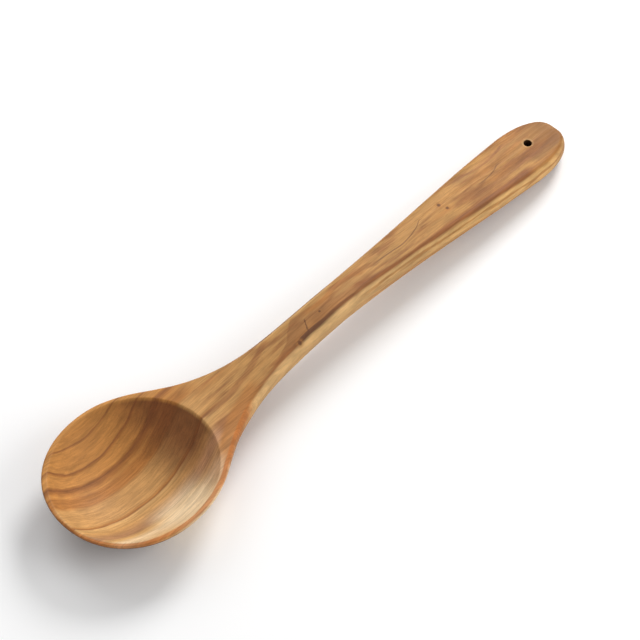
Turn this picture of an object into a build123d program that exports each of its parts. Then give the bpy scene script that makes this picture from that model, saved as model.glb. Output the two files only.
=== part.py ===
from build123d import *
from math import acos, cos, pi, sin
import os

# A one-piece wooden cooking spoon: a shallow oval bowl, a flared neck, an arched handle and
# a rounded paddle end with one drilled hanging hole.
# Lengths are in millimetres. X runs from the bowl to the handle end and Z is up. The spoon
# lies as it rests on a table, on the bottom of its bowl and the underside of its handle end,
# and the origin is the middle of the rectangle that it covers.

# Overall length, and the bowl
LENGTH = 300.0
BOWL_LENGTH = 77.0
BOWL_WIDTH = 71.0
BOWL_HEIGHT = 20.0
RIM_WIDTH = 1.8
RIM_TIP_WIDTH = 1.5
RIM_DROP = 1.4
FLOOR_THICKNESS = 4.0

# The neck, where the handle is narrowest and its top highest
NECK_DISTANCE = 79.0
NECK_WIDTH = 15.0
NECK_THICKNESS = 15.7
HANDLE_RISE = 3.4

# The paddle end, and the rounding of the handle's long edges
PADDLE_WIDTH = 27.4
PADDLE_ROUND_LENGTH = 26.0
END_THICKNESS = 11.1
END_ROUND_LENGTH = 4.5
EDGE_WIDTH = 3.2
EDGE_DROP = 5.6

# The hanging hole, drilled a little off the middle line
HOLE_DIAMETER = 3.5
HOLE_INSET = 18.0
HOLE_SHIFT = 1.3
HOLE_EDGE = 0.3

# Places along X, counted from the middle of the bowl
BOWL_REACH = BOWL_LENGTH / 2
END_PLACE = LENGTH - BOWL_REACH
NECK_PLACE = BOWL_REACH + NECK_DISTANCE
PADDLE_PLACE = END_PLACE - PADDLE_ROUND_LENGTH
REST_PLACE = END_PLACE - END_ROUND_LENGTH
HOLE_PLACE = END_PLACE - HOLE_INSET

# Where the outline and the underside change between the middle of the bowl and the neck, as
# shares of the bowl's reach and then of the neck's distance from the bowl. At each place:
# how much of the flare from neck width to bowl width is left, and how high the arch is.
BOWL_PLACE_SHARES = (0.0, 0.3, 0.6, 0.9)
NECK_PLACE_SHARES = (0.06, 0.2, 0.35, 0.52, 0.75, 1.0)
FLARE_SHARES = (1.0, 0.95, 0.79, 0.545, 0.375, 0.22, 0.105, 0.04, 0.01, 0.0)
ARCH_SHARES = (0.0, 0.09, 0.33, 0.53, 0.63, 0.71, 0.78, 0.86, 0.96, 1.0)

# How the outline widens from the neck to the paddle, and where the top starts to rise and
# the hull has become a handle between the bowl and the neck
SWELL_PLACE_SHARES = (0.0, 0.19, 0.40, 0.61, 0.80, 1.0)
SWELL_SHARES = (0.0, 0.09, 0.30, 0.58, 0.83, 1.0)
RISE_START_SHARE = 0.15
HANDLE_START_SHARE = 0.27

# How round the two ends are in plan, where 2 is an ellipse and more is squarer, and how the
# top and the underside of the handle come down to its end, where 1 is a straight slope
TIP_POWER = 2.1
PADDLE_POWER = 2.6
TOP_FALL_POWER = 1.3
UNDERSIDE_FALL_POWER = 1.2

# The hull of a cross-section below its widest level, as shares of its half width and depth:
# how far its side leans in, how far down the side holds and how wide the bottom is
TIP_HULL_SHARES = (0.33, 0.67, 0.33)
BOWL_HULL_SHARES = (0.15, 0.66, 0.47)
HANDLE_HULL_SHARES = (0.02, 0.62, 0.72)

# Rounded edges: how full their curve is, the most of a narrow section's half width that one
# takes, and how much of the rim at the tip the outer and the inner rounding take
CURVE_SHARE = 0.55
NARROW_EDGE_SHARE = 0.6
OUTER_RIM_SHARE = 0.6
INNER_RIM_SHARE = 0.23

# The height of the very end of the handle, as a share of its thickness there, and how much
# of a full round each end has, where the rest is a flat too small to see
NOSE_SHARE = 0.46
ROUND_END_SHARE = 0.9995

# The hollow's side: its height grows with this power of the way out from its middle. Its
# lowest oval is a small share of the rim's oval, and the cutter goes on a little above it.
HOLLOW_POWER = 2.5
HOLLOW_START_SHARE = 0.02
HOLLOW_OVER_SHARE = 1.08

# How far along the keel from its point the first cross-section is, how many halvings find a
# place on the keel, and how many gaps between cross-sections shape the rounded edge of the
# tip, the tip, the neck, the handle, its end and the hollow
KEEL_START_SHARE = 0.0001
KEEL_HALVINGS = 40
TIP_EDGE_STEPS = 3
TIP_STEPS = 16
NECK_STEPS = 22
HANDLE_STEPS = 10
END_STEPS = 11
HOLLOW_STEPS = 9


def smooth_step(share):
    share = min(max(share, 0.0), 1.0)
    return share * share * (3 - 2 * share)


def blend(first, last, share):
    return first + (last - first) * share


def blend_shares(first, last, share):
    return [blend(one, other, share) for one, other in zip(first, last)]


def guide(places, values, place):
    """The value at one place of a smooth curve through the given values, level at its start."""
    last = len(places) - 1
    index = 0
    while index < last - 1 and place > places[index + 1]:
        index += 1

    def slope(number):
        if number == 0:
            return 0.0
        after = min(number + 1, last)
        return (values[after] - values[number - 1]) / (places[after] - places[number - 1])

    gap = places[index + 1] - places[index]
    share = (place - places[index]) / gap
    value = blend(values[index], values[index + 1], smooth_step(share))
    value += slope(index) * gap * share * (1 - share) ** 2
    value -= slope(index + 1) * gap * share ** 2 * (1 - share)
    return value


def oval_share(share, power):
    """How wide an oval end still is, at a share of the way to its point."""
    return (1 - (ROUND_END_SHARE * min(share, 1.0)) ** power) ** (1 / power)


def flare_places():
    bowl_side = [share * BOWL_REACH for share in BOWL_PLACE_SHARES]
    return bowl_side + [blend(BOWL_REACH, NECK_PLACE, share) for share in NECK_PLACE_SHARES]


def half_width(place):
    """Half the width of the outline."""
    if place < 0:
        return BOWL_WIDTH / 2 * oval_share(-place / BOWL_REACH, TIP_POWER)
    if place < NECK_PLACE:
        flare = guide(flare_places(), FLARE_SHARES, place)
        return blend(NECK_WIDTH, BOWL_WIDTH, flare) / 2
    if place < PADDLE_PLACE:
        along = (place - NECK_PLACE) / (PADDLE_PLACE - NECK_PLACE)
        swell = guide(SWELL_PLACE_SHARES, SWELL_SHARES, along)
        return blend(NECK_WIDTH, PADDLE_WIDTH, swell) / 2
    along = (place - PADDLE_PLACE) / PADDLE_ROUND_LENGTH
    return PADDLE_WIDTH / 2 * oval_share(along, PADDLE_POWER)


def top_line(place):
    """The height of the top face, before the end is rounded."""
    if place > NECK_PLACE:
        along = (place - NECK_PLACE) / (END_PLACE - NECK_PLACE)
        return blend(BOWL_HEIGHT + HANDLE_RISE, END_THICKNESS, along ** TOP_FALL_POWER)
    start = blend(BOWL_REACH, NECK_PLACE, RISE_START_SHARE)
    rise = smooth_step((place - start) / (NECK_PLACE - start))
    return BOWL_HEIGHT + HANDLE_RISE * rise


def underside_line(place):
    """The height of the underside from the middle of the bowl on, before the end is rounded."""
    arch = BOWL_HEIGHT + HANDLE_RISE - NECK_THICKNESS
    if place < NECK_PLACE:
        return arch * guide(flare_places(), ARCH_SHARES, place)
    along = min((place - NECK_PLACE) / (REST_PLACE - NECK_PLACE), 1.0)
    return arch * (1 - along ** UNDERSIDE_FALL_POWER)


def section_wire(place, heights, edge_width, hull_shares):
    """A closed outline across the spoon: flat top, rounded long edges and the hull below."""
    top, shoulder, bottom = heights
    lean, hold, floor = hull_shares
    width = half_width(place)
    side = hold * (shoulder - bottom)
    edge_width = min(edge_width, NARROW_EDGE_SHARE * width)
    flat = width - edge_width
    rise = CURVE_SHARE * (top - shoulder)
    reach = CURVE_SHARE * edge_width
    edge_curve = (
        (flat, top),
        (flat + reach, top),
        (width + min(rise * lean * width / side, reach), shoulder + rise),
        (width, shoulder),
    )
    hull_curve = (
        (width, shoulder),
        (width * (1 - lean), shoulder - side),
        (width * floor, bottom),
        (0.0, bottom),
    )
    left = [
        [(place, across, height) for across, height in curve]
        for curve in (edge_curve, hull_curve)
    ]
    right = [
        [(place, -across, height) for across, height in reversed(curve)]
        for curve in (hull_curve, edge_curve)
    ]
    flat_top = Line(right[1][-1], left[0][0])
    return Wire([flat_top] + [Bezier(*points) for points in left + right])


def keel_point(share):
    """Reach and height of the bowl's keel at a share of its way in from the tip, as shares."""
    lean, hold, floor = BOWL_HULL_SHARES
    rest = 1 - share
    tip_weight = rest ** 3
    side_weight = 3 * rest ** 2 * share
    floor_weight = 3 * rest * share ** 2
    reach = tip_weight + side_weight * (1 - lean) + floor_weight * floor
    return reach, tip_weight + side_weight * (1 - hold)


def keel_height(place):
    """The height of the keel at a place on the tip side of the bowl, as a share of the rim's."""
    near = KEEL_START_SHARE
    far = 1.0
    for _ in range(KEEL_HALVINGS):
        middle = (near + far) / 2
        if keel_point(middle)[0] > -place / BOWL_REACH:
            near = middle
        else:
            far = middle
    return keel_point(near)[1]


def tip_section(place):
    """One cross-section of the bowl, from its tip to its middle."""
    shoulder = BOWL_HEIGHT - RIM_DROP
    bottom = shoulder * keel_height(place)
    edge_width = OUTER_RIM_SHARE * RIM_TIP_WIDTH
    nose = max(1 - (place + BOWL_REACH) / edge_width, 0.0)
    top = shoulder + RIM_DROP * oval_share(nose, 2)
    fullness = (half_width(place) / (BOWL_WIDTH / 2)) ** 2
    hull_shares = blend_shares(TIP_HULL_SHARES, BOWL_HULL_SHARES, fullness)
    return section_wire(place, (top, shoulder, bottom), edge_width, hull_shares)


def handle_section(place):
    """One cross-section from the middle of the bowl on, squeezed together near the end."""
    share = smooth_step(place / blend(BOWL_REACH, NECK_PLACE, HANDLE_START_SHARE))
    top = top_line(place)
    bottom = underside_line(place)
    shoulder = top - blend(RIM_DROP, EDGE_DROP, share)
    nose = blend(bottom, top, NOSE_SHARE)
    squeeze = oval_share(max(place - REST_PLACE, 0.0) / END_ROUND_LENGTH, 2)
    heights = [blend(nose, height, squeeze) for height in (top, shoulder, bottom)]
    edge_width = blend(OUTER_RIM_SHARE * RIM_TIP_WIDTH, EDGE_WIDTH, share)
    hull_shares = blend_shares(BOWL_HULL_SHARES, HANDLE_HULL_SHARES, share)
    return section_wire(place, heights, edge_width, hull_shares)


def tip_places():
    """Where the tip's cross-sections are: over its rounded edge, then at even turns round it."""
    edge_width = OUTER_RIM_SHARE * RIM_TIP_WIDTH
    places = []
    for number in range(TIP_EDGE_STEPS):
        places.append(edge_width * (1 - cos(pi / 2 * number / TIP_EDGE_STEPS)) - BOWL_REACH)
    first_turn = acos(1 - edge_width / BOWL_REACH)
    for number in range(TIP_STEPS):
        places.append(-BOWL_REACH * cos(blend(first_turn, pi / 2, number / TIP_STEPS)))
    return places


def blank():
    """The whole spoon before the hollow and the hole are cut.

    Its cross-sections are close together and joined by straight strips, which stay light.
    """
    places = [NECK_PLACE * number / NECK_STEPS for number in range(NECK_STEPS)]
    for number in range(HANDLE_STEPS):
        places.append(blend(NECK_PLACE, PADDLE_PLACE, number / HANDLE_STEPS))
    for number in range(END_STEPS + 1):
        places.append(blend(PADDLE_PLACE, END_PLACE, sin(pi / 2 * number / END_STEPS)))
    sections = [tip_section(place) for place in tip_places()]
    sections += [handle_section(place) for place in places]
    return Solid.make_loft(sections, ruled=True)


def hollow():
    """The scooped inside of the bowl, as a stack of ovals carried on a little above the rim."""
    length = BOWL_LENGTH - 2 * RIM_TIP_WIDTH
    width = BOWL_WIDTH - 2 * RIM_WIDTH
    depth = BOWL_HEIGHT - FLOOR_THICKNESS
    ovals = []
    for number in range(HOLLOW_STEPS + 1):
        share = blend(HOLLOW_START_SHARE, HOLLOW_OVER_SHARE, number / HOLLOW_STEPS)
        height = FLOOR_THICKNESS + depth * share ** HOLLOW_POWER
        oval = Pos(0, 0, height) * Ellipse(share * length / 2, share * width / 2)
        ovals.append(oval.wire())
    return Solid.make_loft(ovals)


def hanging_hole():
    """The drilled hole near the handle end, with both of its edges sanded off a little."""
    top = top_line(HOLE_PLACE)
    bottom = underside_line(HOLE_PLACE)
    radius = HOLE_DIAMETER / 2
    wide = radius + 2 * HOLE_EDGE
    drill = Pos(0, 0, (top + bottom) / 2) * Cylinder(radius, 2 * (top - bottom))
    upper_edge = Pos(0, 0, top) * Cone(radius, wide, 2 * HOLE_EDGE)
    lower_edge = Pos(0, 0, bottom) * Cone(wide, radius, 2 * HOLE_EDGE)
    return Pos(HOLE_PLACE, HOLE_SHIFT, 0) * (drill + upper_edge + lower_edge)


def wooden_spoon():
    """The blank, hollowed, with its inner rim softened and the hanging hole drilled."""
    scooped = blank() - hollow()
    flat_rim = scooped.faces().filter_by(GeomType.PLANE).sort_by(SortBy.AREA)[-1]
    inner_rim = flat_rim.inner_wires()[0].edges()
    softened = fillet(inner_rim, INNER_RIM_SHARE * RIM_TIP_WIDTH)
    middle = (END_PLACE - BOWL_REACH) / 2
    return Pos(-middle, 0, 0) * (softened - hanging_hole())


os.makedirs("parts", exist_ok=True)
export_step(wooden_spoon(), "parts/spoon.step")
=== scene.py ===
import math
from types import SimpleNamespace

import bmesh
import bpy
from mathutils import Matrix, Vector


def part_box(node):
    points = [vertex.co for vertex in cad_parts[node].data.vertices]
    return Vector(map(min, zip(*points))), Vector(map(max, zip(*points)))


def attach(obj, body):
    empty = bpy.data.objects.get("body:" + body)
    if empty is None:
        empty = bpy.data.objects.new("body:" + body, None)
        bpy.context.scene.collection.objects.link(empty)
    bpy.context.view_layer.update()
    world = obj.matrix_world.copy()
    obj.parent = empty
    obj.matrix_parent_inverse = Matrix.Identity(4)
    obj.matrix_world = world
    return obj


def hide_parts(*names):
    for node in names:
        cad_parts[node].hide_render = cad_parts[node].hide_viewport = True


# A one-piece olive wood cooking spoon on a white table. Lengths below are in millimetres and
# counted from the middle of the bowl; to_metres() puts them in the frame of the CAD part.

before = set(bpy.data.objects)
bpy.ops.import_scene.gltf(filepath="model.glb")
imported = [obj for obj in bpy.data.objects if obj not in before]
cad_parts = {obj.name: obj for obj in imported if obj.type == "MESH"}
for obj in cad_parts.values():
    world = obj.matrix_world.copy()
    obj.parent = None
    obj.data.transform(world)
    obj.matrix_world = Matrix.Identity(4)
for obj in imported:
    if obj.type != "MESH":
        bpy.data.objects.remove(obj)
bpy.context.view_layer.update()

low_corner, high_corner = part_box("spoon")
LENGTH = 300.0
MILLIMETRE = (high_corner[0] - low_corner[0]) / LENGTH

# The bowl
BOWL_LENGTH = 77.0
BOWL_WIDTH = 71.0
BOWL_HEIGHT = 20.0
RIM_WIDTH = 1.8
RIM_TIP_WIDTH = 1.5
RIM_DROP = 1.4
RIM_CORNER = 0.9
FLOOR_THICKNESS = 4.0
INNER_RIM_SOFTNESS = 0.4

# The neck, the paddle end and the hanging hole
NECK_DISTANCE = 79.0
NECK_WIDTH = 15.0
NECK_THICKNESS = 15.7
HANDLE_RISE = 3.4
PADDLE_WIDTH = 27.4
PADDLE_ROUND_LENGTH = 26.0
END_THICKNESS = 11.1
END_ROUND_LENGTH = 4.5
EDGE_WIDTH = 3.2
EDGE_DROP = 5.6
HOLE_DIAMETER = 3.5
HOLE_INSET = 18.0
HOLE_SHIFT = 1.3
HOLE_EDGE = 0.5
CUTTER_OVERHANG = 2.0

# Places along the spoon
BOWL_REACH = BOWL_LENGTH / 2
END_PLACE = LENGTH - BOWL_REACH
NECK_PLACE = BOWL_REACH + NECK_DISTANCE
PADDLE_PLACE = END_PLACE - PADDLE_ROUND_LENGTH
REST_PLACE = END_PLACE - END_ROUND_LENGTH
HOLE_PLACE = END_PLACE - HOLE_INSET
MIDDLE = (END_PLACE - BOWL_REACH) / 2

# Half the length and half the width of the hollow at its sharp rim
HOLLOW_REACH = BOWL_REACH - RIM_TIP_WIDTH
HOLLOW_HALF_WIDTH = BOWL_WIDTH / 2 - RIM_WIDTH

# The shares and powers that shape the guides, as in the part but for a rounder paddle end
BOWL_PLACE_SHARES = (0.0, 0.3, 0.6, 0.9)
NECK_PLACE_SHARES = (0.06, 0.2, 0.35, 0.52, 0.75, 1.0)
FLARE_SHARES = (1.0, 0.95, 0.79, 0.545, 0.375, 0.22, 0.105, 0.04, 0.01, 0.0)
ARCH_SHARES = (0.0, 0.09, 0.33, 0.53, 0.63, 0.71, 0.78, 0.86, 0.96, 1.0)
SWELL_PLACE_SHARES = (0.0, 0.19, 0.40, 0.61, 0.80, 1.0)
SWELL_SHARES = (0.0, 0.09, 0.30, 0.58, 0.83, 1.0)
RISE_START_SHARE = 0.15
HANDLE_START_SHARE = 0.27
TIP_HULL_SHARES = (0.33, 0.67, 0.33)
BOWL_HULL_SHARES = (0.15, 0.66, 0.47)
HANDLE_HULL_SHARES = (0.02, 0.62, 0.72)
CURVE_SHARE = 0.55
NARROW_EDGE_SHARE = 0.6
NOSE_SHARE = 0.6
ROUND_END_SHARE = 0.9995
KEEL_START_SHARE = 0.0001
TIP_POWER = 2.1
PADDLE_POWER = 2.35
TOP_FALL_POWER = 1.3
UNDERSIDE_FALL_POWER = 1.2
HOLLOW_POWER = 2.5
CIRCLE_POWER = 2

# How finely the skin is divided
KEEL_HALVINGS = 40
RIM_STEPS = 14
HOLLOW_TURN_STEPS = 112
NECK_STEPS = 90
HANDLE_STEPS = 70
END_STEPS = 44
HULL_STEPS = 22
CORNER_STEPS = 9
TOP_STEPS = 5
HOLLOW_RINGS = 44
SOFT_RINGS = 6
HOLE_SEGMENTS = 64
HOLE_EDGE_STEPS = 6
MERGE_DISTANCE = 0.002


def to_metres(place, across, height):
    """A point of the spoon in the frame of the CAD part."""
    return Vector((place - MIDDLE, across, height)) * MILLIMETRE


def smooth_step(share):
    share = min(max(share, 0.0), 1.0)
    return share * share * (3 - 2 * share)


def mix(first, last, share):
    return first + (last - first) * share


def mix_shares(first, last, share):
    return [mix(one, other, share) for one, other in zip(first, last)]


def guide(places, values, place):
    """The value at one place of a smooth curve through the given values, level at its start."""
    last = len(places) - 1
    index = 0
    while index < last - 1 and place > places[index + 1]:
        index += 1

    def slope(number):
        if number == 0:
            return 0.0
        after = min(number + 1, last)
        return (values[after] - values[number - 1]) / (places[after] - places[number - 1])

    gap = places[index + 1] - places[index]
    share = (place - places[index]) / gap
    value = mix(values[index], values[index + 1], smooth_step(share))
    value += slope(index) * gap * share * (1 - share) ** 2
    value -= slope(index + 1) * gap * share ** 2 * (1 - share)
    return value


def oval_share(share, power):
    """How wide an oval end still is, at a share of the way to its point."""
    return (1 - (ROUND_END_SHARE * min(share, 1.0)) ** power) ** (1 / power)


def flare_places():
    bowl_side = [share * BOWL_REACH for share in BOWL_PLACE_SHARES]
    return bowl_side + [mix(BOWL_REACH, NECK_PLACE, share) for share in NECK_PLACE_SHARES]


def half_width(place):
    if place < 0:
        return BOWL_WIDTH / 2 * oval_share(-place / BOWL_REACH, TIP_POWER)
    if place < NECK_PLACE:
        return mix(NECK_WIDTH, BOWL_WIDTH, guide(flare_places(), FLARE_SHARES, place)) / 2
    if place < PADDLE_PLACE:
        along = (place - NECK_PLACE) / (PADDLE_PLACE - NECK_PLACE)
        return mix(NECK_WIDTH, PADDLE_WIDTH, guide(SWELL_PLACE_SHARES, SWELL_SHARES, along)) / 2
    along = (place - PADDLE_PLACE) / PADDLE_ROUND_LENGTH
    return PADDLE_WIDTH / 2 * oval_share(along, PADDLE_POWER)


def top_line(place):
    if place > NECK_PLACE:
        along = (place - NECK_PLACE) / (END_PLACE - NECK_PLACE)
        return mix(BOWL_HEIGHT + HANDLE_RISE, END_THICKNESS, along ** TOP_FALL_POWER)
    start = mix(BOWL_REACH, NECK_PLACE, RISE_START_SHARE)
    return BOWL_HEIGHT + HANDLE_RISE * smooth_step((place - start) / (NECK_PLACE - start))


def underside_line(place):
    arch = BOWL_HEIGHT + HANDLE_RISE - NECK_THICKNESS
    if place < NECK_PLACE:
        return arch * guide(flare_places(), ARCH_SHARES, place)
    along = min((place - NECK_PLACE) / (REST_PLACE - NECK_PLACE), 1.0)
    return arch * (1 - along ** UNDERSIDE_FALL_POWER)


def keel_weights(share):
    rest = 1 - share
    return rest ** 3, 3 * rest ** 2 * share, 3 * rest * share ** 2


def keel_reach(share):
    """How far from the middle of the bowl its keel is, as a share of the bowl's reach."""
    lean, _, floor = BOWL_HULL_SHARES
    tip_weight, side_weight, floor_weight = keel_weights(share)
    return tip_weight + side_weight * (1 - lean) + floor_weight * floor


def keel_share(place):
    """The share along the keel that lies at this place, found by halving."""
    near, far = KEEL_START_SHARE, 1.0
    for _ in range(KEEL_HALVINGS):
        middle = (near + far) / 2
        if keel_reach(middle) > -place / BOWL_REACH:
            near = middle
        else:
            far = middle
    return near


def tip_measures(place):
    """Heights, edge width and hull shares of a cross-section on the tip side of the bowl."""
    _, hold, _ = BOWL_HULL_SHARES
    tip_weight, side_weight, _ = keel_weights(keel_share(place))
    shoulder = BOWL_HEIGHT - RIM_DROP
    bottom = shoulder * (tip_weight + side_weight * (1 - hold))
    nose = max(1 - (place + BOWL_REACH) / RIM_CORNER, 0.0)
    top = shoulder + RIM_DROP * oval_share(nose, CIRCLE_POWER)
    fullness = (half_width(place) / (BOWL_WIDTH / 2)) ** 2
    hull_shares = mix_shares(TIP_HULL_SHARES, BOWL_HULL_SHARES, fullness)
    return (top, shoulder, bottom), RIM_CORNER, hull_shares


def handle_measures(place):
    """The same from the middle of the bowl to the end of the handle."""
    share = smooth_step(place / mix(BOWL_REACH, NECK_PLACE, HANDLE_START_SHARE))
    top = top_line(place)
    bottom = underside_line(place)
    shoulder = top - mix(RIM_DROP, EDGE_DROP, share)
    nose = mix(bottom, top, NOSE_SHARE)
    squeeze = oval_share(max(place - REST_PLACE, 0.0) / END_ROUND_LENGTH, CIRCLE_POWER)
    heights = [mix(nose, height, squeeze) for height in (top, shoulder, bottom)]
    hull_shares = mix_shares(BOWL_HULL_SHARES, HANDLE_HULL_SHARES, share)
    return heights, mix(RIM_CORNER, EDGE_WIDTH, share), hull_shares


def curve_point(points, share):
    rest = 1 - share
    weights = (rest ** 3, 3 * rest ** 2 * share, 3 * rest * share ** 2, share ** 3)
    across = sum(weight * point[0] for weight, point in zip(weights, points))
    height = sum(weight * point[1] for weight, point in zip(weights, points))
    return across, height


def half_section(place):
    """One side of a cross-section, from the keel round to the edge of the flat top."""
    heights, edge_width, hull_shares = tip_measures(place) if place < 0 else handle_measures(place)
    top, shoulder, bottom = heights
    lean, hold, floor = hull_shares
    width = half_width(place)
    side = hold * (shoulder - bottom)
    edge_width = min(edge_width, NARROW_EDGE_SHARE * width)
    flat = width - edge_width
    rise = CURVE_SHARE * (top - shoulder)
    reach = CURVE_SHARE * edge_width
    bulge = min(rise * lean * width / side, reach)
    above_keel = (width * floor, bottom)
    below_shoulder = (width * (1 - lean), shoulder - side)
    hull = ((0.0, bottom), above_keel, below_shoulder, (width, shoulder))
    corner = ((width, shoulder), (width + bulge, shoulder + rise), (flat + reach, top), (flat, top))
    points = [curve_point(hull, step / HULL_STEPS) for step in range(HULL_STEPS)]
    return points + [curve_point(corner, step / CORNER_STEPS) for step in range(CORNER_STEPS + 1)]


def soft_rim_shares():
    """Where the softened inner rim starts and ends, as shares of the hollow's reach."""
    return 1 - INNER_RIM_SOFTNESS / HOLLOW_REACH, 1 + INNER_RIM_SOFTNESS / HOLLOW_REACH


def hollow_profile():
    """(share of the hollow's reach, height) from its lowest point out to the flat rim."""
    inner, outer = soft_rim_shares()
    depth = BOWL_HEIGHT - FLOOR_THICKNESS
    rings = []
    for step in range(HOLLOW_RINGS + 1):
        share = inner * step / HOLLOW_RINGS
        rings.append((share, FLOOR_THICKNESS + depth * share ** HOLLOW_POWER))
    start = rings[-1]
    for step in range(1, SOFT_RINGS + 1):
        share = step / SOFT_RINGS
        out = mix(mix(start[0], 1.0, share), mix(1.0, outer, share), share)
        height = mix(mix(start[1], BOWL_HEIGHT, share), BOWL_HEIGHT, share)
        rings.append((out, height))
    return rings


def hollow_reaches():
    """Half the length and half the width of the oval where the flat rim starts."""
    _, outer = soft_rim_shares()
    return outer * HOLLOW_REACH, outer * HOLLOW_HALF_WIDTH


def stations():
    """The places of the cross-sections, from the tip to the end of the handle."""
    length, _ = hollow_reaches()
    places = [mix(-BOWL_REACH, -length, (step / RIM_STEPS) ** 2) for step in range(RIM_STEPS)]
    for step in range(HOLLOW_TURN_STEPS):
        places.append(-length * math.cos(math.pi * step / HOLLOW_TURN_STEPS))
    for step in range(NECK_STEPS):
        places.append(mix(length, NECK_PLACE, step / NECK_STEPS))
    for step in range(HANDLE_STEPS):
        places.append(mix(NECK_PLACE, PADDLE_PLACE, step / HANDLE_STEPS))
    for step in range(END_STEPS + 1):
        places.append(mix(PADDLE_PLACE, END_PLACE, math.sin(math.pi / 2 * step / END_STEPS)))
    return places


def inner_edge(place):
    """How far out the flat top starts: at the hollow's rim, or at the middle line."""
    length, width = hollow_reaches()
    return width * math.sqrt(max(1 - (place / length) ** 2, 0.0))


def add_grid(mesh, rows, closed=False):
    """Adds rows of points, in millimetres, as a grid of faces."""
    made = [[mesh.verts.new(to_metres(*point)) for point in row] for row in rows]
    columns = len(rows[0])
    for before, after in zip(made, made[1:]):
        for column in range(columns if closed else columns - 1):
            other = (column + 1) % columns
            mesh.faces.new((before[column], before[other], after[other], after[column]))


def add_fan(mesh, ring):
    """Adds one face with the given points round it."""
    mesh.faces.new([mesh.verts.new(to_metres(*point)) for point in ring])


def add_end(mesh, place, section):
    """Closes the skin at the first or the last cross-section, which are tiny."""
    flat, top = section[-1]
    side = section + [(mix(flat, 0.0, step / TOP_STEPS), top) for step in range(1, TOP_STEPS + 1)]
    other = [(-across, height) for across, height in reversed(side[1:-1])]
    add_fan(mesh, [(place, across, height) for across, height in side + other])


def outer_skin(mesh):
    """The hull, its rounded edges and the flat top, on both sides."""
    places = stations()
    sections = [half_section(place) for place in places]
    for side in (1, -1):
        hull_rows = []
        top_rows = []
        for place, section in zip(places, sections):
            hull_rows.append([(place, side * across, height) for across, height in section])
            flat, top = section[-1]
            inner = inner_edge(place)
            row = []
            for step in range(TOP_STEPS + 1):
                row.append((place, side * mix(flat, inner, step / TOP_STEPS), top))
            top_rows.append(row)
        add_grid(mesh, hull_rows)
        add_grid(mesh, top_rows)
    add_end(mesh, places[0], sections[0])
    add_end(mesh, places[-1], sections[-1])


def hollow_skin(mesh):
    """The scooped inside of the bowl, ring by ring out to the flat rim."""
    rows = []
    for share, height in hollow_profile():
        length = share * HOLLOW_REACH
        width = share * HOLLOW_HALF_WIDTH
        row = []
        for step in range(2 * HOLLOW_TURN_STEPS):
            turn = math.pi * step / HOLLOW_TURN_STEPS
            row.append((-length * math.cos(turn), width * math.sin(turn), height))
        rows.append(row)
    add_grid(mesh, rows, closed=True)


def mesh_data(mesh, name):
    data = bpy.data.meshes.new(name)
    mesh.to_mesh(data)
    mesh.free()
    return data


def add_to_scene(name, data):
    thing = bpy.data.objects.new(name, data)
    bpy.context.scene.collection.objects.link(thing)
    return thing


def object_from(mesh, name):
    """A smooth object from a mesh whose parts only share the places of their edges."""
    bmesh.ops.remove_doubles(mesh, verts=mesh.verts, dist=MERGE_DISTANCE * MILLIMETRE)
    bmesh.ops.dissolve_degenerate(mesh, edges=mesh.edges, dist=MERGE_DISTANCE * MILLIMETRE)
    bmesh.ops.recalc_face_normals(mesh, faces=mesh.faces)
    for face in mesh.faces:
        face.smooth = True
    return add_to_scene(name, mesh_data(mesh, name))


def hole_cutter():
    """A pin with flared ends that takes out the hanging hole and softens both of its edges."""
    top = top_line(HOLE_PLACE)
    bottom = underside_line(HOLE_PLACE)
    radius = HOLE_DIAMETER / 2
    flared = radius + HOLE_EDGE
    profile = [(flared, bottom - CUTTER_OVERHANG), (flared, bottom)]
    flare = []
    for step in range(1, HOLE_EDGE_STEPS):
        turn = math.pi / 2 * step / HOLE_EDGE_STEPS
        flare.append((radius + HOLE_EDGE * (1 - math.sin(turn)), HOLE_EDGE * (1 - math.cos(turn))))
    profile += [(wide, bottom + up) for wide, up in flare]
    profile += [(radius, bottom + HOLE_EDGE), (radius, top - HOLE_EDGE)]
    profile += [(wide, top - up) for wide, up in reversed(flare)]
    profile += [(flared, top), (flared, top + CUTTER_OVERHANG)]
    rows = []
    for wide, height in profile:
        row = []
        for step in range(HOLE_SEGMENTS):
            turn = 2 * math.pi * step / HOLE_SEGMENTS
            row.append((HOLE_PLACE + wide * math.cos(turn), HOLE_SHIFT + wide * math.sin(turn), height))
        rows.append(row)
    mesh = bmesh.new()
    add_grid(mesh, rows, closed=True)
    add_fan(mesh, rows[0])
    add_fan(mesh, rows[-1])
    return object_from(mesh, "hole_cutter")


def drill(spoon):
    """Takes the hanging hole out of the spoon's mesh."""
    cutter = hole_cutter()
    cut = spoon.modifiers.new("hole", "BOOLEAN")
    cut.operation = "DIFFERENCE"
    cut.solver = "EXACT"
    cut.object = cutter
    graph = bpy.context.evaluated_depsgraph_get()
    drilled = bpy.data.meshes.new_from_object(spoon.evaluated_get(graph))
    spoon.modifiers.clear()
    spoon.data = drilled
    bpy.data.objects.remove(cutter)


def spoon_body():
    mesh = bmesh.new()
    outer_skin(mesh)
    hollow_skin(mesh)
    spoon = object_from(mesh, "wooden_spoon")
    drill(spoon)
    return spoon


def plain_material(name, color, roughness):
    material = bpy.data.materials.new(name)
    material.use_nodes = True
    shader = material.node_tree.nodes["Principled BSDF"]
    shader.inputs["Base Color"].default_value = (*color, 1.0)
    shader.inputs["Roughness"].default_value = roughness
    return material


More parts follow.
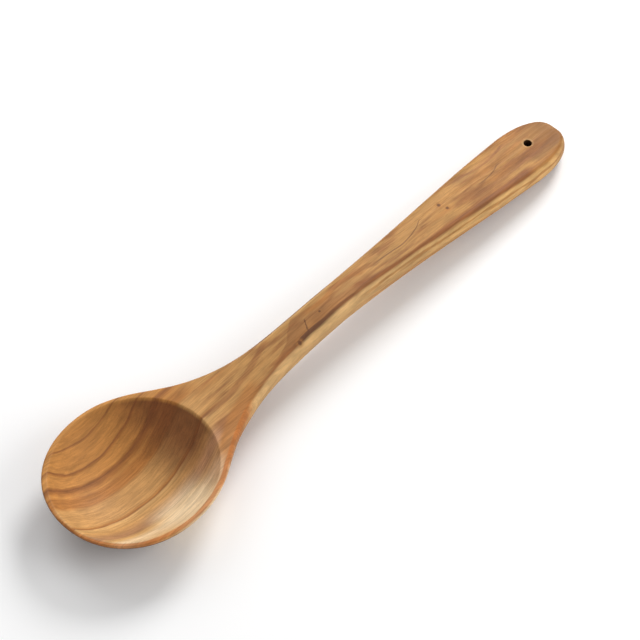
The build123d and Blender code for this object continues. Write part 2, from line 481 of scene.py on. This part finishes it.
class Painter:
    """Adds shader nodes to one material; values are numbers or the outputs of other nodes."""

    def __init__(self, tree):
        self.tree = tree

    def join(self, value, socket):
        if isinstance(value, bpy.types.NodeSocket):
            self.tree.links.new(value, socket)
        else:
            socket.default_value = value

    def node(self, kind, inputs, **settings):
        made = self.tree.nodes.new(kind)
        for name, value in settings.items():
            setattr(made, name, value)
        for name, value in inputs.items():
            self.join(value, made.inputs[name])
        return made

    def math(self, operation, first, second=0.0):
        return self.node("ShaderNodeMath", {0: first, 1: second}, operation=operation).outputs[0]

    def add(self, first, *others):
        for other in others:
            first = self.math("ADD", first, other)
        return first

    def times(self, first, *others):
        for other in others:
            first = self.math("MULTIPLY", first, other)
        return first

    def minus(self, first, second):
        return self.math("SUBTRACT", first, second)

    def distance(self, first, second):
        """How long an arrow with these two sides is."""
        return self.math("SQRT", self.add(self.times(first, first), self.times(second, second)))

    def rise(self, value, start, end, low=0.0, high=1.0):
        """Goes smoothly from low to high while the value goes from start to end."""
        inputs = {"Value": value, "From Min": start, "From Max": end, "To Min": low, "To Max": high}
        node = self.node("ShaderNodeMapRange", inputs, interpolation_type="SMOOTHSTEP")
        return node.outputs["Result"]

    def between(self, value, low, high, softness):
        """1 between two limits, fading to 0 outside them."""
        before = self.rise(value, low - softness, low)
        return self.times(before, self.rise(value, high + softness, high))

    def noise(self, point, sizes, detail):
        """Smooth noise around one half whose blobs have about the given sizes."""
        scaled = [self.math("DIVIDE", value, size) for value, size in zip(point, sizes)]
        spot = self.node("ShaderNodeCombineXYZ", dict(zip("XYZ", scaled))).outputs[0]
        inputs = {"Vector": spot, "Scale": 1.0, "Detail": detail}
        return self.node("ShaderNodeTexNoise", inputs).outputs["Fac"]

    def wave(self, point, sizes, reach):
        """Noise that swings about as far as the reach to both sides of nothing."""
        return self.times(self.minus(self.noise(point, sizes, WAVE_DETAIL), 0.5), 2 * reach)

    def mix(self, amount, first, second, blend="MIX"):
        """Two colors mixed, whose sockets on the node are found by their numbers."""
        node = self.node("ShaderNodeMix", {}, data_type="RGBA", blend_type=blend)
        self.join(amount, node.inputs[0])
        for color, socket in ((first, node.inputs[6]), (second, node.inputs[7])):
            self.join((*color, 1.0) if isinstance(color, tuple) else color, socket)
        return node.outputs[2]

    def stain(self, color, tint, strength, *masks):
        """The color, tinted where all the masks are, as far as the strength says; for stains and for
        painted shade and sheen alike.
        """
        return self.mix(self.times(strength, *masks), color, tint)

    def shade(self, color, factor):
        """The color made darker or lighter by a factor."""
        grey = self.node("ShaderNodeCombineColor", {0: factor, 1: factor, 2: factor}).outputs[0]
        return self.mix(1.0, color, grey, "MULTIPLY")

    def curve(self, place, points):
        """The level that a smooth line through (place, level) points has at each place."""
        node = self.node("ShaderNodeFloatCurve", {})
        line = node.mapping.curves[0]
        shares = [((spot + BOWL_REACH) / LENGTH, (level + GRAIN_REACH) / (2 * GRAIN_REACH))
                  for spot, level in sorted(points)]
        line.points[0].location = shares[0]
        line.points[1].location = shares[-1]
        for share in shares[1:-1]:
            line.points.new(*share)
        node.mapping.extend = "HORIZONTAL"
        node.mapping.update()
        self.join(self.math("DIVIDE", self.add(place, BOWL_REACH), LENGTH), node.inputs["Value"])
        return self.minus(self.times(node.outputs[0], 2 * GRAIN_REACH), GRAIN_REACH)

    def bands(self, level, stops):
        """Colors that change from level to level."""
        node = self.node("ShaderNodeValToRGB", {})
        ramp = node.color_ramp
        shares = [((spot + GRAIN_REACH) / (2 * GRAIN_REACH), color) for spot, color in stops]
        ramp.elements[0].position, ramp.elements[0].color = shares[0][0], (*shares[0][1], 1.0)
        ramp.elements[1].position, ramp.elements[1].color = shares[-1][0], (*shares[-1][1], 1.0)
        for share, color in shares[1:-1]:
            ramp.elements.new(share).color = (*color, 1.0)
        self.join(self.math("DIVIDE", self.add(level, GRAIN_REACH), 2 * GRAIN_REACH), node.inputs[0])
        return node.outputs["Color"]


# The olive wood. Its grain is a stack of thin layers, nearly upright and nearly along the
# spoon. The level of a layer is how far to the side it meets the table under the middle of
# the bowl. From there a layer drifts a little to the far side along the spoon, and it leans
# that way with its height.
GRAIN_REACH = 40.0
GRAIN_DRIFT_SHARE = 0.012
GRAIN_TILT_SHARE = 0.289

# How finely the top line and the edges of the outline are divided to place the stains
EDGE_STEPS = 24

# How far the layers, the edge stains and the crack waver, and how long their bends are
# along the spoon, across it and up
LONG_WAVE = 1.5
LONG_WAVE_SIZES = (34.0, 12.0, 12.0)
SHORT_WAVE = 0.3
SHORT_WAVE_SIZES = (9.0, 3.5, 3.5)
EDGE_WAVE = 0.5
EDGE_WAVE_SIZES = (16.0, 5.0, 2.0)
CRACK_WAVE = 0.9
CRACK_WAVE_SIZES = (2.0, 1.2, 1.2)

# How long the marks of each noise are along the spoon, across it and up
TONE_SIZES = (60.0, 4.0, 40.0)
BLOT_SIZES = (24.0, 4.0, 9.0)
THIN_SIZES = (70.0, 0.9, 30.0)
STREAK_SIZES = (11.0, 0.6, 3.0)
FIBRE_SIZES = (5.0, 0.3, 0.3)
PORE_SIZES = (4.0, 0.22, 0.22)
CLOUD_SIZES = (14.0, 5.0, 5.0)

# How many finer levels the waves and each noise have
WAVE_DETAIL = 2.0
TONE_DETAIL = 3.0
BLOT_DETAIL = 4.0
THIN_DETAIL = 3.0
STREAK_DETAIL = 3.0
FIBRE_DETAIL = 2.0
CLOUD_DETAIL = 3.0
PORE_DETAIL = 1.0

# The colors of the wood, and those of its painted sheen and painted shade
SHEEN_IVORY = (0.92, 0.72, 0.46)
WARM = (1.0, 0.97, 0.86)
SAPWOOD = (0.74, 0.455, 0.185)
CREAM = (0.74, 0.53, 0.31)
PALE = (0.58, 0.33, 0.120)
TAN = (0.53, 0.275, 0.090)
GOLD = (0.51, 0.225, 0.055)
AMBER = (0.40, 0.160, 0.036)
BROWN = (0.25, 0.090, 0.024)
UMBER = (0.10, 0.034, 0.012)
RUST = (0.46, 0.145, 0.026)
GREY_BROWN = (0.39, 0.195, 0.085)
ROSE_BROWN = (0.50, 0.250, 0.130)
SHADED_RED_BROWN = (0.20, 0.066, 0.020)
HANDLE_PALE = (0.45, 0.230, 0.070)
HANDLE_GOLD = (0.38, 0.165, 0.042)
SHADE_BLACK = (0.02, 0.01, 0.006)

# The bands that cross the bowl, from its far side to its near side: (level, color)
BOWL_BANDS = (
    (-40.0, PALE),
    (-28.0, CREAM),
    (-23.5, PALE),
    (-20.5, GREY_BROWN),
    (-18.5, GREY_BROWN),
    (-14.0, TAN),
    (-9.6, PALE),
    (-8.9, BROWN),
    (-8.6, AMBER),
    (-6.8, TAN),
    (2.4, TAN),
    (4.4, AMBER),
    (8.6, AMBER),
    (9.7, GOLD),
    (10.8, AMBER),
    (12.6, BROWN),
    (13.3, AMBER),
    (13.8, GOLD),
    (17.4, GOLD),
    (17.9, AMBER),
    (18.4, BROWN),
    (18.8, GOLD),
    (23.9, GOLD),
    (24.3, BROWN),
    (24.7, GOLD),
    (40.0, GOLD),
)


def spots(*pairs):
    """Points on the top face, given from the middle of the spoon, as (place, level)."""
    levels = []
    for along, across in pairs:
        place = along + MIDDLE
        drift = GRAIN_DRIFT_SHARE * place + GRAIN_TILT_SHARE * top_line(place)
        levels.append((place, across - drift))
    return levels


def top_spots():
    """The top line, as (place, height)."""
    places = [mix(0.0, END_PLACE, step / EDGE_STEPS) for step in range(EDGE_STEPS + 1)]
    return [(place, top_line(place)) for place in places]


def near_edge(first, last):
    """The near edge of the outline, as (place, across)."""
    places = [mix(first, last, step / EDGE_STEPS) for step in range(EDGE_STEPS + 1)]
    return [(place, -half_width(place)) for place in places]


# The veins are lines seen on the top face, each one the edge of a layer. Each has its line,
# its widths to the near and the far side of the line, how softly it ends there, its color
# and how strong it is.
VEINS = (
    (spots((-30, 5.4), (-36.5, 2.8), (-42.7, 0.8), (-50.5, -0.8), (-58.4, -2.5), (-72.7, -2.6)),
     1.0, 0.4, 1.1, BROWN, 0.6),
    (spots((-21.4, -6.6), (-28.4, -5.6), (-36.1, -7.2), (-43.8, -7.8), (-58.7, -9.8), (-72.3, -9.2)),
     3.2, 0.4, 0.9, BROWN, 0.75),
    (spots((-13.9, 4.6), (-19.9, 0.9), (-24, -2.1), (-30.9, -4.7), (-36.5, -6.1)),
     9.0, 0.0, 0.7, BROWN, 0.55),
    (spots((14.8, -6.0), (7.1, -5.2), (-5.9, -5.4), (-14.2, -5.3), (-20, -5.9)),
     0.9, 0.7, 0.6, UMBER, 0.9),
    (spots((24.8, -3.5), (14.8, -4.0), (4, -2.5), (-9.0, -1.5)),
     2.2, 1.6, 1.8, BROWN, 0.5),
    (spots((23.8, 0.9), (16.6, 2.6), (12, 3.2), (1.4, 2.2), (-6.4, 2.8)),
     0.7, 0.7, 0.9, AMBER, 0.8),
    (spots((120.0, -10.0), (105.5, -10.0), (91.6, -9.5), (72.2, -8.9), (49.2, -7.9), (33.8, -6.6),
           (18.1, -3.4)),
     2.2, 0.9, 1.4, BROWN, 1.0),
    (spots((63.1, 3.6), (57.8, 0.7), (52, -0.7), (41, -0.6), (31.7, -0.2)),
     0.15, 0.15, 0.3, UMBER, 0.6),
    (spots((31.7, -0.2), (24.3, 2), (15.1, 2.4), (8.5, 3.9)),
     0.8, 0.8, 0.8, BROWN, 0.5),
    (spots((111.9, 2.2), (105.3, 0.2), (99.4, -0.5)),
     0.15, 0.15, 0.3, UMBER, 0.5),
    (spots((121.7, 7.7), (116, 6.6), (109.7, 6.1), (101, 6.1), (96.1, 7)),
     0.15, 0.5, 0.5, BROWN, 0.6),
    (spots((136.0, -2.5), (118.0, -3.0), (104.0, -5.0), (88.0, -5.5)),
     1.6, 1.2, 1.8, BROWN, 0.55),
    (spots((143.0, -5.2), (136.0, -6.0), (128.0, -6.6)),
     1.6, 1.2, 1.4, UMBER, 0.4),
)

# Pin knots on the top face, counted from the middle of the spoon: (along, across, radius)
KNOTS = (
    (-20.0, -5.9, 0.8),
    (-3.2, -1.2, 0.5),
    (76.0, 3.3, 0.8),
    (77.5, -0.4, 0.7),
)


# How far inside its two ends a vein starts to fade, and over what length
VEIN_INSET = 2.0
VEIN_FADE = 7.0

# Where the stains, the painted shade and the painted sheen lie. A stretch is (start, end,
# softness) and a fade is (where it starts, where it is full). Both are along the spoon where
# their names say nothing else.
BOWL_FADE = (52.0, 36.0)
NEAR_WALL_LEVELS_FADE = (-12.0, -22.0)
SHEEN_STRETCH = (2.0, 10.0, 16.0)
ROSE_WALL_FADE = (13.0, 25.0)

NEAR_EDGE_ENDS = (-30.0, 258.0)
FLARE_STRETCH = (33.0, 60.0, 8.0)
FLARE_EDGE_FADE = (9.0, 6.0)
SAPWOOD_FADE = (44.0, 62.0)
SAPWOOD_EDGE_FADE = (2.0, 0.9)
LOW_FLANK_DEPTH_FADE = (2.5, 7.5)
SEAM_FADE = (120.0, 140.0)
SEAM_EDGE_STRETCH = (0.3, 0.45, 0.25)
RIM_STRETCH = (-18.0, 50.0, 10.0)
RIM_EDGE_STRETCH = (0.5, 1.9, 0.6)

TIP_RIM_FADE = (-10.0, -22.0)
TIP_RIM_ACROSS_FADE = (18.0, 0.0)
TIP_RIM_HEIGHT_FADE = (16.0, 18.6)
TIP_RIM_OVAL_SHARES = (1.0, 1.015)

FAR_EDGE_ENDS = (60.0, 140.0)
FAR_LINE_STRETCH = (82.0, 118.0, 8.0)
FAR_LINE_DEPTH_FADE = (4.0, 2.5)
PALE_LINE_EDGE_STRETCH = (2.1, 2.6, 0.3)
DARK_LINE_EDGE_STRETCH = (0.3, 1.6, 0.3)

SHADED_WALL_FADE = (8.0, 30.0)
SHADED_WALL_END_FADE = (44.0, 37.0)
SHADED_WALL_HEIGHT_FADE = (19.8, 18.6)
SHADED_WALL_LEVELS_STRETCH = (-10.0, 20.0, 9.0)
TIP_SHADE_FADE = (0.0, -16.0)
TIP_SHADE_HEIGHT_FADE = (19.4, 18.6)
TIP_SHADE_OUTWARD_SHARES = (0.0, 0.3)

CRACK_PLACE = 100.5
CRACK_LEAN_SHARE = 0.55
CRACK_WIDTH_STRETCH = (-0.15, 0.15, 0.35)
CRACK_ACROSS_STRETCH = (-4.8, 0.2, 0.8)
CRACK_DEPTH_FADE = (2.5, 1.5)

KNOT_DEPTH_FADE = (1.5, 4.5)
KNOT_SHRINK = 4.0
KNOT_RING_SHARES = (3.4, 1.0)
KNOT_CORE_SHARES = (1.5, 0.6)

HOLE_RING_FADE = (2.9, 2.4)
HOLE_SHADE_REACH = 0.25
WARM_FADE = (120.0, 200.0)
END_STAIN_LENGTH = 24.0

# How strong the stains, the painted shade and the painted sheen are
BLOT_SHARE = 0.7
SHEEN_SHARE = 0.65
ROSE_WALL_SHARE = 0.55
FLARE_SHARE = 0.85
SAPWOOD_SHARE = 0.85
LOW_FLANK_SHARE = 0.55
SEAM_SHARE = 0.7
RIM_SHARE = 0.8
TIP_RIM_SHARE = 0.75
FAR_LINE_SHARE = 0.45
SHADED_WALL_SHARE = 0.85
TIP_SHADE_SHARE = 0.85
CRACK_SHARE = 0.75
KNOT_RING_SHARE = 0.45
KNOT_CORE_SHARE = 0.8
HOLE_RING_SHARE = 0.25
END_STAIN_SHARE = 0.5
END_SHADE_SHARE = 0.66

# Where each noise starts and stops to count, and for a shade how dark and how light it makes
# the wood there
TONE_NOISE_SHARES = (0.38, 0.60)
BLOT_NOISE_SHARES = (0.48, 0.66)
PORE_NOISE_SHARES = (0.64, 0.74)
THIN_SHADE_SHARES = (0.3, 0.7, 0.92, 1.07)
FIBRE_SHADE_SHARES = (0.3, 0.7, 0.94, 1.05)
STREAK_SHADE_SHARES = (0.35, 0.65, 0.88, 1.09)
CLOUD_SHADE_SHARES = (0.3, 0.7, 0.90, 1.09)
PORE_SHADE_SHARES = (0.0, 1.0, 1.0, 0.78)
END_GRAIN_SHADE_SHARES = (0.6, 1.0, 1.0, 0.8)
ROUGHNESS_SHARES = (0.3, 0.7, 0.62, 0.52)
SPECULAR_SHARE = 0.25
FIBRE_RELIEF_SHARE = 0.5
RELIEF_SHARE = 0.25
RELIEF_DEPTH = 0.1


def measures(paint):
    """Where a point of the surface is and how it faces, as outputs of nodes."""
    at = SimpleNamespace()
    position = paint.node("ShaderNodeTexCoord", {}).outputs["Object"]
    parts = paint.node("ShaderNodeSeparateXYZ", {0: position}).outputs
    at.across, at.height = [paint.math("DIVIDE", parts[axis], MILLIMETRE) for axis in ("Y", "Z")]
    at.place = paint.add(paint.math("DIVIDE", parts["X"], MILLIMETRE), MIDDLE)
    at.point = (at.place, at.across, at.height)

    # How far the surface faces along the spoon, and away from the middle of the bowl
    normal = paint.node("ShaderNodeNewGeometry", {}).outputs["Normal"]
    facing = paint.node("ShaderNodeSeparateXYZ", {0: normal}).outputs
    at.facing_along = paint.math("ABSOLUTE", facing["X"])
    outward = paint.add(paint.times(facing["X"], at.place), paint.times(facing["Y"], at.across))
    at.outward = paint.math("DIVIDE", outward, BOWL_REACH)

    # The level of the layer that the point lies in
    drift = paint.add(paint.times(at.place, GRAIN_DRIFT_SHARE), paint.times(at.height, GRAIN_TILT_SHARE))
    level = paint.minus(at.across, drift)
    level = paint.add(level, paint.wave(at.point, LONG_WAVE_SIZES, LONG_WAVE))
    at.level = paint.add(level, paint.wave(at.point, SHORT_WAVE_SIZES, SHORT_WAVE))
    at.in_layer = (at.place, at.level, at.height)

    # How far it is below the top line, and from the near and the far edge of the outline
    at.depth = paint.minus(paint.curve(at.place, top_spots()), at.height)
    near_offset = paint.minus(at.across, paint.curve(at.place, near_edge(*NEAR_EDGE_ENDS)))
    at.near_offset = paint.add(near_offset, paint.wave(at.point, EDGE_WAVE_SIZES, EDGE_WAVE))
    far_edge = [(place, -side) for place, side in near_edge(*FAR_EDGE_ENDS)]
    at.far_offset = paint.minus(paint.curve(at.place, far_edge), at.across)
    return at


def handle_wood(paint, at):
    """Two tones in turn, and darker blots."""
    tone = paint.noise(at.in_layer, TONE_SIZES, TONE_DETAIL)
    color = paint.mix(paint.rise(tone, *TONE_NOISE_SHARES), HANDLE_GOLD, HANDLE_PALE)
    blot = paint.noise(at.point, BLOT_SIZES, BLOT_DETAIL)
    return paint.stain(color, BROWN, BLOT_SHARE, paint.rise(blot, *BLOT_NOISE_SHARES))


def bowl_wood(paint, at):
    """The bands of the bowl, with a painted sheen on the near wall at its middle, and rosy by the neck.
    """
    color = paint.bands(at.level, BOWL_BANDS)
    near_wall = paint.rise(at.level, *NEAR_WALL_LEVELS_FADE)
    # Painted sheen: the middle of the near wall is lightened toward ivory, as a highlight would
    painted_sheen = paint.between(at.place, *SHEEN_STRETCH)
    color = paint.stain(color, SHEEN_IVORY, SHEEN_SHARE, near_wall, painted_sheen)
    rose_wall = paint.rise(at.place, *ROSE_WALL_FADE)
    return paint.stain(color, ROSE_BROWN, ROSE_WALL_SHARE, near_wall, rose_wall)


def veins(paint, at, color):
    """The veins, each along its own line and fading toward both of its ends."""
    for line, near, far, softness, tint, strength in VEINS:
        offset = paint.minus(at.level, paint.curve(at.place, line))
        places = [place for place, _ in line]
        start, end = min(places) + VEIN_INSET, max(places) - VEIN_INSET
        width = paint.between(offset, -near, far, softness)
        color = paint.stain(color, tint, strength, width, paint.between(at.place, start, end, VEIN_FADE))
    return color


def near_side(paint, at, color):
    """Amber at the flare of the neck, pale sapwood with a seam along the handle, a rusty rim."""
    flare = paint.rise(at.near_offset, *FLARE_EDGE_FADE)
    color = paint.stain(color, AMBER, FLARE_SHARE, flare, paint.between(at.place, *FLARE_STRETCH))
    sapwood = paint.rise(at.near_offset, *SAPWOOD_EDGE_FADE)
    sapwood = paint.times(sapwood, paint.rise(at.place, *SAPWOOD_FADE))
    color = paint.stain(color, SAPWOOD, SAPWOOD_SHARE, sapwood)
    low_flank = paint.rise(at.depth, *LOW_FLANK_DEPTH_FADE)
    color = paint.stain(color, HANDLE_PALE, LOW_FLANK_SHARE, sapwood, low_flank)
    seam = paint.between(at.near_offset, *SEAM_EDGE_STRETCH)
    color = paint.stain(color, AMBER, SEAM_SHARE, seam, paint.rise(at.place, *SEAM_FADE))
    rim = paint.between(at.near_offset, *RIM_EDGE_STRETCH)
    return paint.stain(color, RUST, RIM_SHARE, rim, paint.between(at.place, *RIM_STRETCH))


def tip_rim(paint, at, color):
    """A rusty orange rim at the tip, outside the oval of the hollow."""
    length, width = hollow_reaches()
    oval = paint.distance(paint.math("DIVIDE", at.place, length), paint.math("DIVIDE", at.across, width))
    rim = paint.times(paint.rise(oval, *TIP_RIM_OVAL_SHARES), paint.rise(at.height, *TIP_RIM_HEIGHT_FADE))
    side = paint.times(paint.rise(at.place, *TIP_RIM_FADE), paint.rise(at.across, *TIP_RIM_ACROSS_FADE))
    return paint.stain(color, RUST, TIP_RIM_SHARE, rim, side)


def far_lines(paint, at, color):
    """A thin pale line, and a dark one outside it, along the far edge of the neck."""
    along = paint.between(at.place, *FAR_LINE_STRETCH)
    along = paint.times(along, paint.rise(at.depth, *FAR_LINE_DEPTH_FADE))
    pale_line = paint.between(at.far_offset, *PALE_LINE_EDGE_STRETCH)
    color = paint.stain(color, SAPWOOD, FAR_LINE_SHARE, pale_line, along)
    dark_line = paint.between(at.far_offset, *DARK_LINE_EDGE_STRETCH)
    return paint.stain(color, UMBER, FAR_LINE_SHARE, dark_line, along)


def red_wood_and_painted_shade(paint, at, color):
    """Painted shade on red-brown wood by the neck in the hollow, and painted shade under the tip's rim.
    """
    # Painted shade, together with red-brown wood, on the hollow's wall beside the neck
    shaded_wall = paint.times(paint.rise(at.place, *SHADED_WALL_FADE), paint.rise(at.place, *SHADED_WALL_END_FADE))
    shaded_wall = paint.times(shaded_wall, paint.rise(at.height, *SHADED_WALL_HEIGHT_FADE))
    middle = paint.between(at.level, *SHADED_WALL_LEVELS_STRETCH)
    color = paint.stain(color, SHADED_RED_BROWN, SHADED_WALL_SHARE, shaded_wall, middle)
    # Painted shade on the outside of the tip, just under its rim
    tip_shade = paint.times(paint.rise(at.place, *TIP_SHADE_FADE), paint.rise(at.height, *TIP_SHADE_HEIGHT_FADE))
    return paint.stain(color, UMBER, TIP_SHADE_SHARE, tip_shade, paint.rise(at.outward, *TIP_SHADE_OUTWARD_SHARES))


def crack(paint, at, color):
    """A short crack across the near half of the neck, beside the largest knot."""
    line = paint.add(paint.times(at.across, CRACK_LEAN_SHARE), CRACK_PLACE)
    offset = paint.add(paint.minus(at.place, line), paint.wave(at.point, CRACK_WAVE_SIZES, CRACK_WAVE))
    width = paint.between(offset, *CRACK_WIDTH_STRETCH)
    length = paint.between(at.across, *CRACK_ACROSS_STRETCH)
    return paint.stain(color, UMBER, CRACK_SHARE, width, length, paint.rise(at.depth, *CRACK_DEPTH_FADE))


def knots(paint, at, color):
    """Pin knots, which shrink away below the top."""
    shrink = paint.rise(at.depth, *KNOT_DEPTH_FADE, 0.0, KNOT_SHRINK)
    for along, side, radius in KNOTS:
        offset = paint.distance(paint.minus(at.place, along + MIDDLE), paint.minus(at.across, side))
        offset = paint.add(offset, shrink)
        ring = paint.rise(offset, *[share * radius for share in KNOT_RING_SHARES])
        color = paint.stain(color, AMBER, KNOT_RING_SHARE, ring)
        core = paint.rise(offset, *[share * radius for share in KNOT_CORE_SHARES])
        color = paint.stain(color, UMBER, KNOT_CORE_SHARE, core)
    return color


def hole_ring_and_shade(paint, at, color):
    """A pale ring round the hanging hole, and painted shade, nearly black, on its inside."""
    radius = paint.distance(paint.minus(at.place, HOLE_PLACE), paint.minus(at.across, HOLE_SHIFT))
    color = paint.stain(color, CREAM, HOLE_RING_SHARE, paint.rise(radius, *HOLE_RING_FADE))
    # Painted shade: the inside of the hole is made nearly black
    inside = paint.rise(radius, HOLE_DIAMETER / 2 + HOLE_SHADE_REACH, HOLE_DIAMETER / 2)
    return paint.mix(inside, color, SHADE_BLACK)


def end_stain(paint, at, color):
    """Warmer toward the end of the handle, and darker where the grain is cut across."""
    color = paint.shade(color, paint.rise(at.facing_along, *END_GRAIN_SHADE_SHARES))
    color = paint.mix(paint.rise(at.place, *WARM_FADE), color, WARM, "MULTIPLY")
    end = paint.rise(at.place, END_PLACE - END_STAIN_LENGTH, END_PLACE)
    color = paint.stain(color, AMBER, END_STAIN_SHARE, end)
    return paint.shade(color, paint.minus(1.0, paint.times(end, 1.0 - END_SHADE_SHARE)))


def olive_wood():
    material = bpy.data.materials.new("olive_wood")
    material.use_nodes = True
    paint = Painter(material.node_tree)
    shader = material.node_tree.nodes["Principled BSDF"]
    at = measures(paint)

    color = paint.mix(paint.rise(at.place, *BOWL_FADE), handle_wood(paint, at), bowl_wood(paint, at))
    for stain in (veins, near_side, tip_rim, far_lines, red_wood_and_painted_shade, crack, knots):
        color = stain(paint, at, color)

    # Thin layers, streaks, fibres, clouds and pores
    thin = paint.noise(at.in_layer, THIN_SIZES, THIN_DETAIL)
    streak = paint.noise(at.in_layer, STREAK_SIZES, STREAK_DETAIL)
    fibre = paint.noise(at.point, FIBRE_SIZES, FIBRE_DETAIL)
    cloud = paint.noise(at.point, CLOUD_SIZES, CLOUD_DETAIL)
    pores = paint.rise(paint.noise(at.point, PORE_SIZES, PORE_DETAIL), *PORE_NOISE_SHARES)
    shade = paint.times(
        paint.rise(thin, *THIN_SHADE_SHARES),
        paint.rise(fibre, *FIBRE_SHADE_SHARES),
        paint.rise(streak, *STREAK_SHADE_SHARES),
        paint.rise(cloud, *CLOUD_SHADE_SHARES),
        paint.rise(pores, *PORE_SHADE_SHARES),
    )
    color = paint.shade(color, shade)
    color = end_stain(paint, at, hole_ring_and_shade(paint, at, color))

    paint.join(color, shader.inputs["Base Color"])
    paint.join(paint.rise(thin, *ROUGHNESS_SHARES), shader.inputs["Roughness"])
    paint.join(SPECULAR_SHARE, shader.inputs["Specular IOR Level"])
    relief = paint.minus(paint.times(fibre, FIBRE_RELIEF_SHARE), pores)
    bump_inputs = {"Height": relief, "Strength": RELIEF_SHARE, "Distance": RELIEF_DEPTH * MILLIMETRE}
    bump = paint.node("ShaderNodeBump", bump_inputs)
    paint.join(bump.outputs["Normal"], shader.inputs["Normal"])
    return material


# The table, the lamps and the camera, which are placed in metres
FLOOR_SIZE = 6.0
FLOOR_COLOR = (0.96, 0.96, 0.96)
FLOOR_ROUGHNESS = 0.9
SURROUND_COLOR = (1.0, 1.0, 1.0, 1.0)
SURROUND_STRENGTH = 0.48
AIM = Vector((-0.0237, -0.0211, 0.0559))

# The lamps: a low key beyond the handle and two soft ones beside it, each with its name,
# place, size and power
LAMPS = (
    ("key", (1.05, 0.36, 0.80), 0.60, 13.0),
    ("far_side", (0.30, 1.05, 1.00), 0.90, 4.0),
    ("near_side", (0.65, -1.00, 0.85), 0.90, 6.5),
)

# The camera of the photograph
CAMERA_DISTANCE = 1.4
CAMERA_AZIMUTH = math.radians(-46.32)
CAMERA_ELEVATION = math.radians(53.70)
LENS = 193.2
SENSOR = 36.0


def table_top():
    mesh = bmesh.new()
    bmesh.ops.create_grid(mesh, x_segments=1, y_segments=1, size=FLOOR_SIZE / 2)
    floor = add_to_scene("table_top", mesh_data(mesh, "table_top"))
    floor.data.materials.append(plain_material("table_white", FLOOR_COLOR, FLOOR_ROUGHNESS))
    return floor


def white_surround():
    world = bpy.data.worlds.new("surround")
    bpy.context.scene.world = world
    world.use_nodes = True
    background = world.node_tree.nodes["Background"]
    background.inputs["Color"].default_value = SURROUND_COLOR
    background.inputs["Strength"].default_value = SURROUND_STRENGTH


def add_lamp(name, spot, size, power):
    data = bpy.data.lights.new(name, "AREA")
    data.energy = power
    data.shape = "DISK"
    data.size = size
    lamp = add_to_scene(name, data)
    lamp.location = spot
    lamp.rotation_euler = (Vector(spot) - AIM).to_track_quat("Z", "Y").to_euler()


def add_camera():
    level_share = math.cos(CAMERA_ELEVATION)
    toward = Vector((-math.sin(CAMERA_AZIMUTH) * level_share,
                     math.cos(CAMERA_AZIMUTH) * level_share,
                     -math.sin(CAMERA_ELEVATION)))
    data = bpy.data.cameras.new("camera")
    data.lens = LENS
    data.sensor_width = SENSOR
    camera = add_to_scene("camera", data)
    camera.location = AIM - toward * CAMERA_DISTANCE
    camera.rotation_euler = (-toward).to_track_quat("Z", "Y").to_euler()
    bpy.context.scene.camera = camera


spoon = spoon_body()
spoon.data.materials.clear()
spoon.data.materials.append(olive_wood())
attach(spoon, "root")
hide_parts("spoon")

floor = table_top()
white_surround()
for lamp in LAMPS:
    add_lamp(*lamp)
add_camera()
bpy.context.scene.view_settings.view_transform = "Standard"
